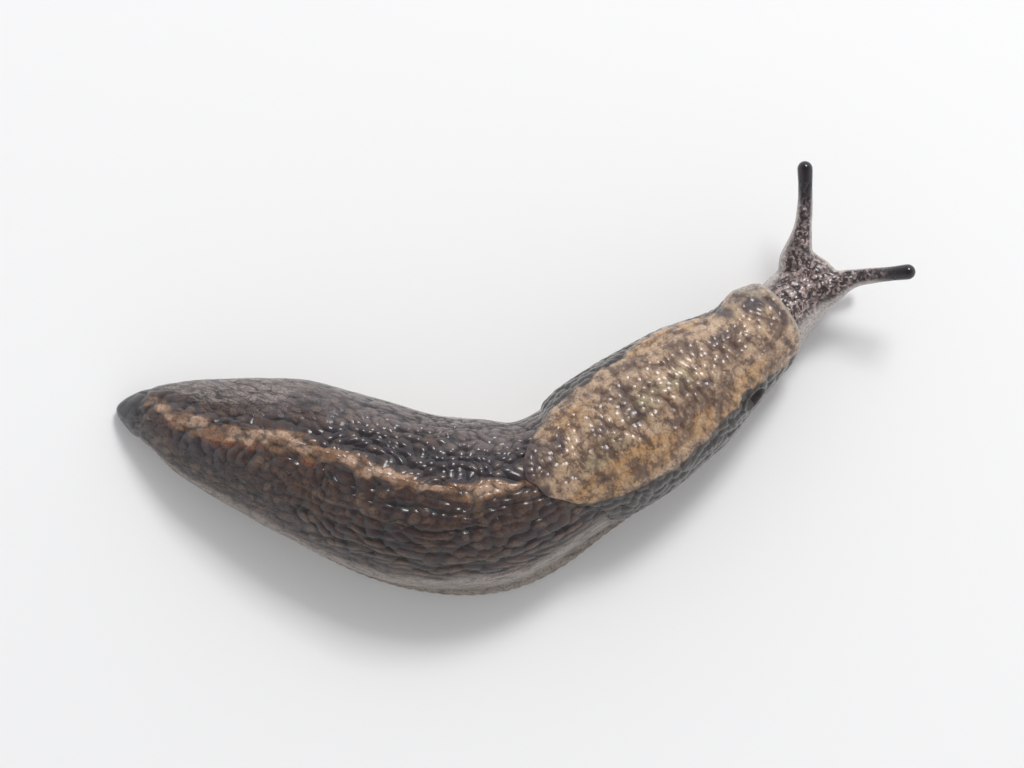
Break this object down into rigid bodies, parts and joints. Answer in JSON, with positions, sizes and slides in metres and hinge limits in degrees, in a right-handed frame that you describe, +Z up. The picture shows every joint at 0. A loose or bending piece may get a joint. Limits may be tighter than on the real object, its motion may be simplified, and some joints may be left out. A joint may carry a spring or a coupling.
{
  "type": "american keeled slug",
  "caption": "Long soft slug body bent in a gentle S on a flat sole, with a keeled tail, a raised oval mantle shield, a head with stalked eyes and short feelers.",
  "frame": {"origin": "on the floor, under the middle of the animal's bounding box", "axes": "+X from the tail towards the head along the animal's longest extent, +Y towards the animal's left, +Z up from the sole"},
  "size_m": [0.0396, 0.0209, 0.0069],
  "materials": {
    "skin": "wet, wrinkled, dark grey-brown with a tan stripe along the keel",
    "mantle": "wet, finely granular, tan mottled dark brown, with dark side bands",
    "eye": "wet, black and glossy"
  },
  "bodies": {
    "root": {"tail_tip": "skin", "tail": "skin", "back_rear": "skin", "back_front": "skin", "trunk_rear": "skin", "trunk_front": "skin", "neck": "skin", "head": "skin", "foot_tail": "skin", "foot_rear": "skin", "foot_middle": "skin", "foot_front": "skin", "eyestalk_root_left": "skin", "eyestalk_stem_left": "skin", "eyestalk_root_right": "skin", "eyestalk_stem_right": "skin", "feeler_left": "skin", "feeler_right": "skin", "mantle": "mantle", "eye_left": "eye", "eye_right": "eye"}
  },
  "joints": []
}
